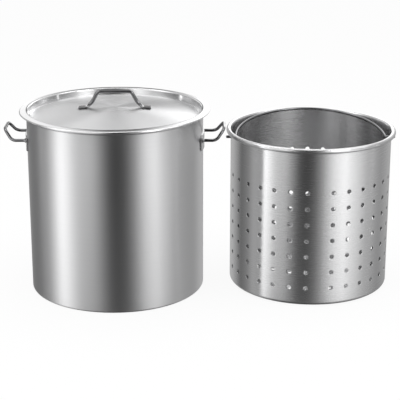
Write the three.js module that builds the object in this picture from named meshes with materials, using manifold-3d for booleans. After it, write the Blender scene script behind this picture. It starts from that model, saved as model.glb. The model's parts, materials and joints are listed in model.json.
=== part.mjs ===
// A stockpot with its lid on, and beside it the perforated basket that hangs in the pot.
// Millimetres, +Z up. The origin is on the pot's axis, on the surface that everything stands on.
// +X points from the pot to the basket, and -Y is the front.

import * as THREE from 'three';
import { mergeGeometries, mergeVertices } from 'three/addons/utils/BufferGeometryUtils.js';
import Module from 'manifold-3d';

const wasm = await Module();
wasm.setup();

// Pot: a rolled wall with a curled rim, welded to a drawn base
const POT_RADIUS = 200; // outside of the wall
const POT_HEIGHT = 419; // top of the curled rim
const POT_SHEET = 1.2;
const POT_CORNER = 5; // outside radius between base and wall
const POT_WELD = 30; // height of the weld between base and wall
const POT_BEAD = 10; // outside diameter of the curled rim
const POT_SEGMENTS = 36;

// Lid: a shallow dome, a short steep wall that drops into the pot, and a flange on the rim
const LID_RADIUS = 215.5; // outside of the flange
const LID_SHEET = 1;
const LID_RECESS = 16.5; // from the flange down to the foot of the dome
const LID_DOME_ANGLE = 10.5; // slope of the dome at its foot, degrees
const LID_DRAFT = 9; // lean of the steep wall, degrees
const LID_FOOT_BEND = 4; // radius between dome and steep wall
const LID_SHOULDER_BEND = 4; // radius between steep wall and flange
const LID_EDGE_BEND = 2.5; // radius of the turned-down edge
const LID_EDGE = 4; // height of the turned-down edge
const LID_CLEARANCE = 1; // between the steep wall's top and the inside of the pot

// Lid handle: a bent rod with flattened ends
const LID_ROD = 8.5;
const LID_HANDLE_BAR = 75; // length of the level bar, between the corners
const LID_HANDLE_FEET = 111; // between the corners where the rod meets the lid
const LID_HANDLE_RISE = 36; // from the lid to the middle of the bar
const LID_HANDLE_BEND = 11;
const LID_FOOT_LENGTH = 27;
const LID_FOOT_WIDTH = 15;
const LID_FOOT_THICKNESS = 3;
const LID_FOOT_TAPER = 9; // length over which the rod goes from round to flat

// Side handles: bent rods, welded to curved plates on the wall
const HANDLE_ROD = 7;
const HANDLE_BELOW_RIM = 64; // from the rim down to the legs
const HANDLE_SPREAD = 89; // between the legs at the wall
const HANDLE_GRIP = 62; // between the corners of the grip
const HANDLE_LEG = 30; // where a leg turns up, out from the wall
const HANDLE_REACH = 47; // from the wall to the middle of the grip
const HANDLE_RISE = 23; // from the legs to the grip
const HANDLE_BEND = 12;
const WELD_RADIUS = 6; // weld collar where a leg meets its plate
const WELD_LENGTH = 4.5;
const PLATE_WIDTH = 100;
const PLATE_ABOVE = 11.5; // from the legs up to the plate's top edge
const PLATE_BELOW = 25.5; // from the legs down to its bottom edge
const PLATE_THICKNESS = 2.5;
const PLATE_CORNER = 8;

// Basket: a perforated rolled wall with a curled rim, welded to a perforated drawn base
const BASKET_RADIUS = 184; // outside of the wall
const BASKET_HEIGHT = 366.5; // top of the curled rim
const BASKET_SHEET = 1;
const BASKET_CORNER = 9; // outside radius between base and wall
const BASKET_WELD = 33; // height of the weld between base and wall
const BASKET_BEAD = 11; // outside diameter of the curled rim
const BASKET_BACK = 28; // how far the basket stands behind the pot
const BASKET_GAP = 2; // between the pot's handle and the bail's end
const HOLE = 10;
const HOLE_SIDES = 6;
const HOLE_PUNCH = 10; // length of the punch that makes a hole
const HOLE_COLUMNS = 30;
const HOLE_ROWS = 7;
const HOLE_ROW_PITCH = 37.1;
const HOLE_FIRST_ROW = 41.8; // height of the lowest row
const SEAM_AZIMUTH = 3; // weld seam of the wall, degrees from the front towards +X
const BASE_RINGS = 3;
const BASE_RING_PITCH = 45;
const BASE_RING_HOLES = 6; // holes in the first ring, and how many more each next ring has

// Bail: a wire arch whose ends go out through two holes in the basket's wall
const BAIL_WIRE = 6.5;
const BAIL_HALF_SPAN = 172; // from the basket's axis to the middle of a leg
const BAIL_ARCH = 182; // from the pivots to the middle of the wire at the top
const BAIL_BEND = 7; // from a leg out to where its straight end begins
const BAIL_END = 11; // how far the ends stand out of the wall
const BAIL_BELOW_RIM = 22.5; // from the rim down to the pivots
const BAIL_HOLE_CLEARANCE = 0.75; // round the wire in its hole

const CURL_TURN = 270; // how far a rim is curled, degrees
const SEAT_GAP = 0.3; // between pieces that rest on or are welded to each other
const ROD_SIDES = 8;
const CURL_STEPS = 6;
const BEND_STEPS = 2;
const CORNER_STEPS = 3;
const DOME_STEPS = 4;
const ARCH_STEPS = 16;
const HANDLE_ROD_STEPS = 26;
const LID_ROD_STEPS = 28;
const BAIL_ROD_STEPS = 48;

const { degToRad, lerp, smoothstep } = THREE.MathUtils;
const steel = { color: 0xc6c7c9, metalness: 1, roughness: 0.34 };
const polishedSteel = { color: 0xd2d3d5, metalness: 1, roughness: 0.16 };
const satinSteel = { color: 0xcdcecf, metalness: 1, roughness: 0.42 };

// Points of an arc, in degrees, both ends included.
function arc(centreR, centreZ, radius, from, to, steps) {
  return Array.from({ length: steps + 1 }, (_, step) => {
    const angle = degToRad(lerp(from, to, step / steps));
    return new THREE.Vector2(centreR + radius * Math.cos(angle), centreZ + radius * Math.sin(angle));
  });
}

// The closed section of a formed sheet. One face follows the line, and the other lies one sheet
// thickness to the right of the line's direction.
function sheetSection(line, thickness) {
  const normals = line.slice(1).map((point, index) => {
    const along = point.clone().sub(line[index]).normalize();
    return new THREE.Vector2(along.y, -along.x);
  });
  const otherFace = line.map((point, index) => {
    if (point.x === 0) return new THREE.Vector2(0, point.y - thickness);
    const before = normals[Math.max(index - 1, 0)];
    const after = normals[Math.min(index, normals.length - 1)];
    const shift = before.clone().add(after).multiplyScalar(thickness / (1 + before.dot(after)));
    return shift.add(point);
  });
  return [...otherFace, ...line.toReversed()];
}

// Leaves only positions, shares equal vertices and drops triangles of no area.
function weld(geometry) {
  geometry.deleteAttribute('normal');
  geometry.deleteAttribute('uv');
  geometry.clearGroups();
  const welded = mergeVertices(geometry);
  const corners = welded.index.array;
  const kept = [];
  for (let i = 0; i < corners.length; i += 3) {
    const [a, b, c] = corners.slice(i, i + 3);
    if (a !== b && b !== c && c !== a) kept.push(a, b, c);
  }
  welded.setIndex(kept);
  return welded;
}

// Turns a section round the Z axis. The first corner of the ring faces -Y.
function revolve(section, segments) {
  const outline = section[0].x === 0 ? section : [...section, section[0]];
  return weld(new THREE.LatheGeometry(outline, segments).rotateX(Math.PI / 2));
}

function solid(geometry) {
  const vertProperties = new Float32Array(geometry.attributes.position.array);
  const triVerts = new Uint32Array(geometry.index.array);
  return new wasm.Manifold(new wasm.Mesh({ numProp: 3, vertProperties, triVerts }));
}

function surface(body) {
  const { vertProperties, triVerts } = body.getMesh();
  const geometry = new THREE.BufferGeometry();
  geometry.setAttribute('position', new THREE.BufferAttribute(vertProperties, 3));
  geometry.setIndex(new THREE.BufferAttribute(triVerts, 1));
  return geometry;
}

function cut(geometry, tool) {
  return surface(solid(geometry).subtract(solid(tool)));
}

// A round rod that follows a path, with flat ends.
function rod(path, diameter, steps) {
  const flat = Math.PI / ROD_SIDES;
  const section = new THREE.Shape();
  section.absarc(0, 0, diameter / 2, flat, flat + 2 * Math.PI);
  const options = { steps, curveSegments: ROD_SIDES / 2, extrudePath: path };
  return weld(new THREE.ExtrudeGeometry(section, options));
}

// A path of straight runs between corners, each corner rounded to the bend radius.
function bentPath(corners, bend) {
  const path = new THREE.CurvePath();
  let start = corners[0];
  for (let i = 1; i < corners.length - 1; i++) {
    const back = corners[i - 1].clone().sub(corners[i]).normalize();
    const onward = corners[i + 1].clone().sub(corners[i]).normalize();
    const setback = bend / Math.tan(back.angleTo(onward) / 2);
    const entry = corners[i].clone().addScaledVector(back, setback);
    const exit = corners[i].clone().addScaledVector(onward, setback);
    path.add(new THREE.LineCurve3(start, entry));
    path.add(new THREE.QuadraticBezierCurve3(entry, corners[i], exit));
    start = exit;
  }
  path.add(new THREE.LineCurve3(start, corners.at(-1)));
  return path;
}

function piece(name, geometry, finish) {
  const mesh = new THREE.Mesh(geometry, new THREE.MeshStandardMaterial(finish));
  mesh.name = name;
  return mesh;
}

// A drawn dish: a flat bottom, a round corner and a short upright edge.
function dish(radius, corner, weldHeight, sheet, segments) {
  const inside = [
    new THREE.Vector2(0, sheet),
    ...arc(radius - corner, corner, corner - sheet, -90, 0, CORNER_STEPS),
    new THREE.Vector2(radius - sheet, weldHeight),
  ];
  return revolve(sheetSection(inside, sheet), segments);
}

// A rolled wall whose top edge is curled outwards into a bead.
function curledWall(radius, weldHeight, height, sheet, bead, segments) {
  const inner = radius - sheet;
  const inside = [
    new THREE.Vector2(inner, weldHeight),
    ...arc(inner + bead / 2, height - bead / 2, bead / 2, 180, 180 - CURL_TURN, CURL_STEPS),
  ];
  return revolve(sheetSection(inside, sheet), segments);
}

// Pot
function makePot() {
  const wall = curledWall(POT_RADIUS, POT_WELD, POT_HEIGHT, POT_SHEET, POT_BEAD, POT_SEGMENTS);
  const base = dish(POT_RADIUS, POT_CORNER, POT_WELD, POT_SHEET, POT_SEGMENTS);
  const pot = new THREE.Group();
  pot.add(piece('pot_wall', wall, steel), piece('pot_base', base, steel));
  return pot;
}

// Side handle on the +X side, in the pot's frame
const plateInner = POT_RADIUS + SEAT_GAP;
const plateOuter = plateInner + PLATE_THICKNESS;
const legHeight = POT_HEIGHT - HANDLE_BELOW_RIM;
const wallAtLeg = Math.sqrt(POT_RADIUS ** 2 - (HANDLE_SPREAD / 2) ** 2);
const plateAtLeg = Math.sqrt(plateOuter ** 2 - (HANDLE_SPREAD / 2) ** 2);

function handlePlate() {
  const low = legHeight - PLATE_BELOW;
  const high = legHeight + PLATE_ABOVE;
  const section = [
    new THREE.Vector2(plateInner, low),
    new THREE.Vector2(plateOuter, low),
    new THREE.Vector2(plateOuter, high),
    new THREE.Vector2(plateInner, high),
  ];
  const half = PLATE_WIDTH / 2;
  const outline = new THREE.Shape();
  outline.absarc(half - PLATE_CORNER, high - PLATE_CORNER, PLATE_CORNER, 0, Math.PI / 2);
  outline.absarc(PLATE_CORNER - half, high - PLATE_CORNER, PLATE_CORNER, Math.PI / 2, Math.PI);
  outline.absarc(PLATE_CORNER - half, low + PLATE_CORNER, PLATE_CORNER, Math.PI, 1.5 * Math.PI);
  outline.absarc(half - PLATE_CORNER, low + PLATE_CORNER, PLATE_CORNER, 1.5 * Math.PI, 2 * Math.PI);
  const options = { depth: plateOuter + PLATE_THICKNESS, bevelEnabled: false, curveSegments: 2 };
  const blank = new THREE.ExtrudeGeometry(outline, options);
  blank.rotateX(Math.PI / 2).rotateZ(Math.PI / 2);
  const ring = solid(revolve(section, POT_SEGMENTS));
  return surface(ring.intersect(solid(weld(blank))));
}

function handleRod() {
  const corners = [];
  for (const side of [-1, 1]) {
    const leg = [
      new THREE.Vector3(wallAtLeg - HANDLE_ROD, side * HANDLE_SPREAD / 2, legHeight),
      new THREE.Vector3(POT_RADIUS + HANDLE_LEG, side * HANDLE_SPREAD / 2, legHeight),
      new THREE.Vector3(POT_RADIUS + HANDLE_REACH, side * HANDLE_GRIP / 2, legHeight + HANDLE_RISE),
    ];
    corners.push(...(side < 0 ? leg : leg.toReversed()));
  }
  let body = solid(rod(bentPath(corners, HANDLE_BEND), HANDLE_ROD, HANDLE_ROD_STEPS));
  for (const side of [-1, 1]) {
    const length = plateAtLeg + WELD_LENGTH - wallAtLeg;
    const collar = new THREE.CylinderGeometry(HANDLE_ROD / 2, WELD_RADIUS, length, ROD_SIDES);
    collar.rotateZ(-Math.PI / 2);
    collar.translate(wallAtLeg + length / 2, side * HANDLE_SPREAD / 2, legHeight);
    body = body.add(solid(weld(collar)));
  }
  const reach = plateOuter + SEAT_GAP;
  const core = revolve(sheetSection([
    new THREE.Vector2(0, POT_HEIGHT),
    new THREE.Vector2(reach, POT_HEIGHT),
  ], POT_HEIGHT), POT_SEGMENTS);
  return surface(body.subtract(solid(core)));
}

function makeHandles() {
  const handles = new THREE.Group();
  for (const [side, turn] of [['right', 0], ['left', Math.PI]]) {
    const handle = new THREE.Group();
    handle.rotation.z = turn;
    handle.add(piece(`handle_plate_${side}`, handlePlate(), satinSteel));
    handle.add(piece(`handle_${side}`, handleRod(), polishedSteel));
    handles.add(handle);
  }
  return handles;
}

// Lid
const lidTop = POT_HEIGHT + SEAT_GAP + LID_SHEET;
const lidWallRadius = POT_RADIUS - POT_SHEET - LID_CLEARANCE - LID_SHEET;
const lidDraft = degToRad(LID_DRAFT);
const lidWallTop = lidTop - LID_SHOULDER_BEND * (1 - Math.sin(lidDraft));
const footBendHeight = lidTop - LID_RECESS + LID_FOOT_BEND;
const lidWallDrop = lidWallTop - footBendHeight + LID_FOOT_BEND * Math.sin(lidDraft);
const footBendRadius = lidWallRadius - lidWallDrop * Math.tan(lidDraft) - LID_FOOT_BEND * Math.cos(lidDraft);
const domeSlope = degToRad(LID_DOME_ANGLE);
const domeRadius = footBendRadius / Math.sin(domeSlope) - LID_FOOT_BEND;
const domeCentre = footBendHeight - (LID_FOOT_BEND + domeRadius) * Math.cos(domeSlope);

function domeHeight(radius) {
  return domeCentre + Math.sqrt(domeRadius ** 2 - radius ** 2);
}

function lidPan() {
  const shoulder = LID_SHOULDER_BEND;
  const shoulderRadius = lidWallRadius + shoulder * Math.cos(lidDraft);
  const edge = LID_RADIUS - LID_EDGE_BEND;
  const dome = arc(0, domeCentre, domeRadius, 90, 90 - LID_DOME_ANGLE, DOME_STEPS);
  dome[0].x = 0;
  const footBend = arc(
    footBendRadius, footBendHeight, LID_FOOT_BEND, -90 - LID_DOME_ANGLE, -LID_DRAFT, CORNER_STEPS,
  );
  const top = [
    ...dome,
    ...footBend.slice(1),
    ...arc(shoulderRadius, lidTop - shoulder, shoulder, 180 - LID_DRAFT, 90, BEND_STEPS),
    ...arc(edge, lidTop - LID_EDGE_BEND, LID_EDGE_BEND, 90, 0, BEND_STEPS),
    new THREE.Vector2(LID_RADIUS, lidTop - LID_EDGE),
  ];
  return revolve(sheetSection(top, LID_SHEET), POT_SEGMENTS);
}

function lidHandle() {
  const barHeight = domeHeight(0) + LID_HANDLE_RISE;
  const footInner = LID_HANDLE_FEET / 2;
  const footOuter = footInner + LID_FOOT_LENGTH;
  const flats = LID_ROD * Math.cos(Math.PI / ROD_SIDES);
  const innerSeat = domeHeight(footInner) + SEAT_GAP;
  const outerSeat = domeHeight(footOuter) + SEAT_GAP;
  const corners = [
    new THREE.Vector3(-footOuter, 0, outerSeat + flats / 2),
    new THREE.Vector3(-footInner, 0, innerSeat + flats / 2),
    new THREE.Vector3(-LID_HANDLE_BAR / 2, 0, barHeight),
    new THREE.Vector3(LID_HANDLE_BAR / 2, 0, barHeight),
    new THREE.Vector3(footInner, 0, innerSeat + flats / 2),
    new THREE.Vector3(footOuter, 0, outerSeat + flats / 2),
  ];
  const geometry = rod(bentPath(corners, LID_HANDLE_BEND), LID_ROD, LID_ROD_STEPS);
  const position = geometry.attributes.position;
  for (let i = 0; i < position.count; i++) {
    const out = Math.abs(position.getX(i));
    const flatness = smoothstep(out, footInner, footInner + LID_FOOT_TAPER);
    const seat = lerp(innerSeat, outerSeat, (out - footInner) / LID_FOOT_LENGTH);
    const squeeze = lerp(1, LID_FOOT_THICKNESS / flats, flatness);
    const spread = lerp(1, LID_FOOT_WIDTH / flats, flatness);
    position.setY(i, position.getY(i) * spread);
    position.setZ(i, seat + (position.getZ(i) - seat) * squeeze);
  }
  return geometry;
}

function makeLid() {
  const lid = new THREE.Group();
  lid.add(piece('lid_pan', lidPan(), satinSteel), piece('lid_handle', lidHandle(), polishedSteel));
  return lid;
}

// Basket. Its ring has two facets to a column of holes, and one more at the seam, so that each
// hole goes through the middle of a facet.
const basketSegments = 2 * HOLE_COLUMNS + 1;
const facetAngle = 2 * Math.PI / basketSegments;
const basketInner = BASKET_RADIUS - BASKET_SHEET;
const pivotHeight = BASKET_HEIGHT - BAIL_BELOW_RIM;

// A prism through the basket's wall, at an azimuth from the front towards +X.
function wallHole(diameter, sides, azimuth, height) {
  const prism = new THREE.CylinderGeometry(diameter / 2, diameter / 2, HOLE_PUNCH, sides);
  return prism.translate(0, -BASKET_RADIUS, height).rotateZ(azimuth);
}

function basketWall() {
  const seam = degToRad(SEAM_AZIMUTH);
  const holes = [];
  for (let column = 0; column < HOLE_COLUMNS; column++) {
    const azimuth = seam + (1.5 + 2 * column) * facetAngle;
    for (let row = 0; row < HOLE_ROWS; row++) {
      holes.push(wallHole(HOLE, HOLE_SIDES, azimuth, HOLE_FIRST_ROW + row * HOLE_ROW_PITCH));
    }
  }
  const pivotHole = BAIL_WIRE + 2 * BAIL_HOLE_CLEARANCE;
  for (const azimuth of [-Math.PI / 2, Math.PI / 2]) {
    holes.push(wallHole(pivotHole, HOLE_SIDES, azimuth, pivotHeight));
  }
  const blank = curledWall(
    BASKET_RADIUS, BASKET_WELD, BASKET_HEIGHT, BASKET_SHEET, BASKET_BEAD, basketSegments,
  );
  return cut(blank.rotateZ(seam), weld(mergeGeometries(holes)));
}

function basketBase() {
  const holes = [];
  for (let ring = 1; ring <= BASE_RINGS; ring++) {
    const count = ring * BASE_RING_HOLES;
    for (let i = 0; i < count; i++) {
      const prism = new THREE.CylinderGeometry(HOLE / 2, HOLE / 2, HOLE_PUNCH, HOLE_SIDES);
      prism.rotateX(Math.PI / 2).translate(0, -ring * BASE_RING_PITCH, 0);
      holes.push(prism.rotateZ(2 * Math.PI * i / count));
    }
  }
  const blank = dish(BASKET_RADIUS, BASKET_CORNER, BASKET_WELD, BASKET_SHEET, basketSegments);
  return cut(blank.rotateZ(degToRad(SEAM_AZIMUTH)), weld(mergeGeometries(holes)));
}

// A point on the middle of the bail's wire: half an ellipse from pivot to pivot.
function archPoint(angle) {
  return new THREE.Vector3(-BAIL_HALF_SPAN * Math.cos(angle), BAIL_ARCH * Math.sin(angle), 0);
}

// Least gap between the wire and the curled rim when the bail lies back at a tilt. The rim comes
// nearest to the axis at the middle of its facets.
function rimGap(tilt) {
  const beadRadius = BASKET_BEAD / 2;
  const beadCentre = (basketInner + beadRadius) * Math.cos(facetAngle / 2);
  const beadHeight = BASKET_HEIGHT - beadRadius - pivotHeight;
  let least = Infinity;
  for (let step = 0; step <= 90; step++) {
    const point = archPoint(step / 180 * Math.PI);
    const across = Math.hypot(point.x, point.y * Math.cos(tilt));
    const distance = Math.hypot(across - beadCentre, point.y * Math.sin(tilt) - beadHeight);
    least = Math.min(least, distance - beadRadius - BAIL_WIRE / 2);
  }
  return least;
}

// The tilt at which the bail comes to rest on the rim.
function bailRest() {
  let low = Math.asin((BASKET_HEIGHT - pivotHeight - BASKET_BEAD / 2) / (2 * BAIL_ARCH));
  let high = Math.PI / 4;
  for (let i = 0; i < 40; i++) {
    const middle = (low + high) / 2;
    if (rimGap(middle) < SEAT_GAP) low = middle;
    else high = middle;
  }
  return high;
}

function bail() {
  const tip = BASKET_RADIUS + BAIL_END;
  const bendStart = BAIL_HALF_SPAN + BAIL_BEND;
  const first = Math.asin(BAIL_BEND / BAIL_ARCH);
  const last = Math.PI - first;
  const archPoints = Array.from({ length: ARCH_STEPS + 1 }, (_, step) => (
    archPoint(lerp(first, last, step / ARCH_STEPS))
  ));
  const at = (x) => new THREE.Vector3(x, 0, 0);
  const path = new THREE.CurvePath();
  path.add(new THREE.LineCurve3(at(-tip), at(-bendStart)));
  path.add(new THREE.QuadraticBezierCurve3(at(-bendStart), at(-BAIL_HALF_SPAN), archPoints[0]));
  path.add(new THREE.CatmullRomCurve3(archPoints));
  path.add(new THREE.QuadraticBezierCurve3(archPoints.at(-1), at(BAIL_HALF_SPAN), at(bendStart)));
  path.add(new THREE.LineCurve3(at(bendStart), at(tip)));
  return rod(path, BAIL_WIRE, BAIL_ROD_STEPS);
}

function makeBasket() {
  const basket = new THREE.Group();
  const handleEnd = POT_RADIUS + HANDLE_REACH + HANDLE_ROD / 2;
  basket.position.set(handleEnd + BASKET_GAP + BASKET_RADIUS + BAIL_END, BASKET_BACK, 0);
  basket.add(piece('basket_wall', basketWall(), steel), piece('basket_base', basketBase(), steel));
  const handle = piece('basket_bail', bail(), polishedSteel);
  handle.position.z = pivotHeight;
  handle.rotation.x = bailRest();
  basket.add(handle);
  return basket;
}

const group = new THREE.Group();
group.add(makePot(), makeHandles(), makeLid(), makeBasket());

export default group;
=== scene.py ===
# Stockpot with its lid on, and its perforated basket beside it, in brushed stainless steel.
import json
import math

import bmesh
import bpy
import numpy as np
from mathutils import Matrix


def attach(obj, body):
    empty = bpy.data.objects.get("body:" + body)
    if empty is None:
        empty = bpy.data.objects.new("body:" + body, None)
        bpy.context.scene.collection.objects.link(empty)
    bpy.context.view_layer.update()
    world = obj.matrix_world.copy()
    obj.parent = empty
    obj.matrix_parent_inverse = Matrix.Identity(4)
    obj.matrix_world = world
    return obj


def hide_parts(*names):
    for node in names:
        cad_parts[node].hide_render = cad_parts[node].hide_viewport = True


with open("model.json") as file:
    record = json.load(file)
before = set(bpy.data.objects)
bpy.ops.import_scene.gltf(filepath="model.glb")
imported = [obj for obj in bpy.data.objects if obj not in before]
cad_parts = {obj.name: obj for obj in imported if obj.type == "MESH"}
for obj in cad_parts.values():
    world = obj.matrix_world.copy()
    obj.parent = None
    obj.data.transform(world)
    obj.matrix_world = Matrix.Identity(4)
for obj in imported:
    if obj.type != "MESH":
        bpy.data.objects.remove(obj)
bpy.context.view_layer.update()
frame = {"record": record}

# Sizes in metres and angles in degrees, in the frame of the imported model
POT_RADIUS = 0.2
POT_HEIGHT = 0.419
POT_SHEET = 0.0012
POT_CORNER = 0.005
POT_WELD = 0.03
POT_BEAD = 0.01

LID_RADIUS = 0.2155
LID_SHEET = 0.001
LID_RECESS = 0.0165
LID_DOME_ANGLE = 10.5
LID_DRAFT = 9.0
LID_FOOT_BEND = 0.0008
LID_SHOULDER_BEND = 0.004
LID_FLANGE_LEVEL = 0.0032
LID_FLANGE_SLOPE = 8.0
LID_EDGE_BEND = 0.0035
LID_EDGE_TURN = 66.0
LID_CLEARANCE = 0.001
LID_POLISH_START = 0.1895
LID_POLISH_FULL = 0.191

LID_ROD = 0.0085
LID_HANDLE_BAR = 0.075
LID_HANDLE_FEET = 0.111
LID_HANDLE_RISE = 0.036
LID_HANDLE_BEND = 0.011
LID_FOOT_SWEEP = 0.026
LID_FOOT_LENGTH = 0.027
LID_FOOT_WIDTH = 0.018
LID_FOOT_THICKNESS = 0.0035
LID_FOOT_TAPER = 0.009
LID_FOOT_ROUNDING = 0.0015

HANDLE_ROD = 0.007
HANDLE_HEIGHT = 0.355
HANDLE_SPREAD = 0.089
HANDLE_GRIP = 0.062
HANDLE_LEG = 0.03
HANDLE_REACH = 0.047
HANDLE_RISE = 0.023
HANDLE_BEND = 0.018
WELD_SWELL = 0.0025
WELD_LENGTH = 0.0025
PLATE_WIDTH = 0.1
PLATE_ABOVE = 0.0115
PLATE_BELOW = 0.0255
PLATE_THICKNESS = 0.0028
PLATE_CORNER = 0.008
PLATE_EDGE = 0.0012

BASKET_RADIUS = 0.184
BASKET_HEIGHT = 0.3665
BASKET_SHEET = 0.001
BASKET_CORNER = 0.009
BASKET_WELD = 0.033
BASKET_BEAD = 0.011
HOLE = 0.01
HOLE_EDGE = 0.0004
HOLE_COLUMNS = 30
HOLE_ROWS = 7
HOLE_ROW_PITCH = 0.0371
HOLE_FIRST_ROW = 0.0418
SEAM_AZIMUTH = 3.0
BASE_RINGS = 3
BASE_RING_PITCH = 0.045
BASE_RING_HOLES = 6
BASE_HOLE_LIMIT = 0.15

BAIL_WIRE = 0.0065
BAIL_HALF_SPAN = 0.172
BAIL_ARCH = 0.182
BAIL_BEND = 0.007
BAIL_END = 0.011
BAIL_END_ROUNDING = BAIL_WIRE / 3
BAIL_TILT = 7.05
PIVOT_HOLE = 0.008
PIVOT_CELL = 0.014

CURL_TURN = 300.0
SEAT_GAP = 0.0003

MOUNTS = {mount["name"]: mount["pos_m"] for mount in frame["record"]["mounts"]}
BASKET_PLACE = np.array(MOUNTS["basket_base"])
JOINTS = {joint["name"]: joint for joint in frame["record"]["behaviour"]["joints"]}
BAIL_PIVOT = np.array(JOINTS["bail_swing"]["pos_m"])
PIVOT_HEIGHT = BAIL_PIVOT[2] - BASKET_PLACE[2]

# Fineness of the meshes: steps round a turn or a bend, and points along a run
ROUND_STEPS = 256
CORNER_STEPS = 16
CURL_STEPS = 28
DOME_STEPS = 24
LID_BEND_STEPS = 10
LID_EDGE_STEPS = 12
ROD_SIDES = 32
PATH_STEP = 0.0015
ROD_BEND_POINTS = 14
ROD_END_POINTS = 7
BAIL_BEND_POINTS = 12
BAIL_ARCH_POINTS = 160
DISH_POINTS = 8
WALL_POINTS = 9
PLAIN_BAND_POINTS = 4
PLATE_CORNER_STEPS = 12
PLATE_TOP_POINTS = 30
PLATE_EDGE_POINTS = 7
PLATE_BACK_POINTS = 9
CELL_STEPS = 8
PIVOT_CELL_STEPS = 4
BASE_STEPS_PER_HOLE = 24

# Rings of the handle plate's face, as shares of its outline
PLATE_FACE_SHARES = np.append(np.linspace(0, 0.9, 10), 0.95)
# Rings of a hole's cell, as shares of the way from the hole's edge to the cell's outline
CELL_SHARES = [1.0, 0.45, 0.12]
# Rings down a hole: how much of the rounded edge it is wider by, and its share of the sheet's depth
HOLE_RINGS = [(1.0, 0.0), (0.3, 0.12), (0.0, 0.35), (0.0, 0.85), (0.6, 1.0)]

# Superellipse powers of a rod's section, and the shares of it left at the very end of a foot
ROUND_SECTION = 2.0
FOOT_SECTION = 8.0
FOOT_END_WIDTH = 0.9
FOOT_END_THICKNESS = 0.5

# Angles past which an edge is sharp, and the small distances that keep the meshes clean
SHARP_ANGLE = 40
PERFORATED_SHARP_ANGLE = 35
MERGE_DISTANCE = 2e-6
THIN_EDGE = 1e-7
SAME_PLACE = 1e-6
CAP_STEP = 1e-5
END_MARGIN = 1.02
UV_NAME = "brush"


# Surfaces: points, four-cornered faces and brush coordinates in metres

def cell_faces(index):
    """One face for each cell of a grid of point numbers, over its last two axes."""
    corners = (index[..., :-1, :-1], index[..., 1:, :-1], index[..., 1:, 1:], index[..., :-1, 1:])
    return np.stack(corners, axis=-1).reshape(-1, 4)


def grid(points, brush):
    """A surface from a grid of points: each cell of the grid is one face."""
    shape = points.shape[:-1]
    index = np.arange(math.prod(shape)).reshape(shape)
    return points.reshape(-1, 3), cell_faces(index), brush.reshape(-1, 2)


def joined(*surfaces):
    """Several surfaces as one: the faces of each are counted on from the points before it."""
    starts = np.cumsum([0] + [len(points) for points, _, _ in surfaces[:-1]])
    points = np.concatenate([surface[0] for surface in surfaces])
    faces = np.concatenate([surface[1] + start for surface, start in zip(surfaces, starts)])
    brush = np.concatenate([surface[2] for surface in surfaces])
    return points, faces, brush


def unit(vectors):
    """The same directions with a length of one."""
    return vectors / np.linalg.norm(vectors, axis=-1, keepdims=True)


def distance_along(path):
    """Each point's distance from the first one: the sum of the steps up to it."""
    steps = np.linalg.norm(np.diff(path, axis=0), axis=1)
    return np.concatenate([[0], np.cumsum(steps)])


def around(radius, azimuth, height):
    """Points round the Z axis, from the front towards +X: x = r sin a, y = -r cos a, z = z."""
    return np.stack([radius * np.sin(azimuth), -radius * np.cos(azimuth), height], axis=-1)


def arc(centre_r, centre_z, radius, start, end, steps):
    """Points at even angles from start to end, in degrees, round a centre."""
    angle = np.radians(np.linspace(start, end, steps + 1))
    return np.column_stack([centre_r + radius * np.cos(angle), centre_z + radius * np.sin(angle)])


def sheet_section(line, thickness):
    """The closed section of a sheet: the line, and the same line shifted to its right.

    Each corner moves along the sum of its two neighbouring normals, divided by one plus their
    dot product, so that every straight run keeps the sheet's thickness.
    """
    along = unit(np.diff(line, axis=0))
    normal = np.column_stack([along[:, 1], -along[:, 0]])
    before = np.vstack([normal[:1], normal])
    after = np.vstack([normal, normal[-1:]])
    scale = thickness / (1 + np.sum(before * after, axis=1, keepdims=True))
    other = line + (before + after) * scale
    on_axis = line[:, 0] == 0
    other[on_axis] = line[on_axis] - [0, thickness]
    section = np.vstack([other, line[::-1]])
    return section if on_axis.any() else np.vstack([section, section[:1]])


def revolved(section, azimuths, place=(0, 0, 0)):
    """Each point of the section, a radius and a height, carried round the Z axis."""
    azimuth, radius = np.meshgrid(azimuths, section[:, 0], indexing="ij")
    points = around(radius, azimuth, np.broadcast_to(section[:, 1], radius.shape))
    lengths = np.meshgrid(azimuths * radius.max(), distance_along(section), indexing="ij")
    return grid(points + np.array(place), np.stack(lengths, axis=-1))


def swept(path, wide, thick, squareness, reference):
    """A section carried along a path, across the path and a reference direction.

    The section is a superellipse, |x / wide|^n + |y / thick|^n = 1, with n the squareness.
    """
    tangent = unit(np.gradient(path, axis=0))
    side = unit(np.cross(tangent, reference))
    up = np.cross(side, tangent)
    angle = np.linspace(0, 2 * np.pi, ROD_SIDES + 1)
    power = 2 / squareness[:, None]
    x = wide[:, None] * np.sign(np.cos(angle)) * np.abs(np.cos(angle)) ** power
    y = thick[:, None] * np.sign(np.sin(angle)) * np.abs(np.sin(angle)) ** power
    points = path[:, None] + x[..., None] * side[:, None] + y[..., None] * up[:, None]
    lengths = np.meshgrid(distance_along(path), angle * wide.max(), indexing="ij")
    return grid(points, np.stack(lengths, axis=-1))


def round_rod(path, radius, reference):
    """A round section, with its own radius at each point, carried along a path."""
    return swept(path, radius, radius, np.full(len(path), ROUND_SECTION), reference)


def straight(start, end):
    """Points at even steps from start to end."""
    count = max(2, int(np.linalg.norm(end - start) / PATH_STEP))
    return start + (end - start) * np.linspace(0, 1, count)[:, None]


def quadratic(start, corner, end, points):
    """A bend towards a corner: (1 - t)^2 start + 2 t (1 - t) corner + t^2 end, t from 0 to 1."""
    t = np.linspace(0, 1, points)[:, None]
    return (1 - t) ** 2 * start + 2 * t * (1 - t) * corner + t ** 2 * end


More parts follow.
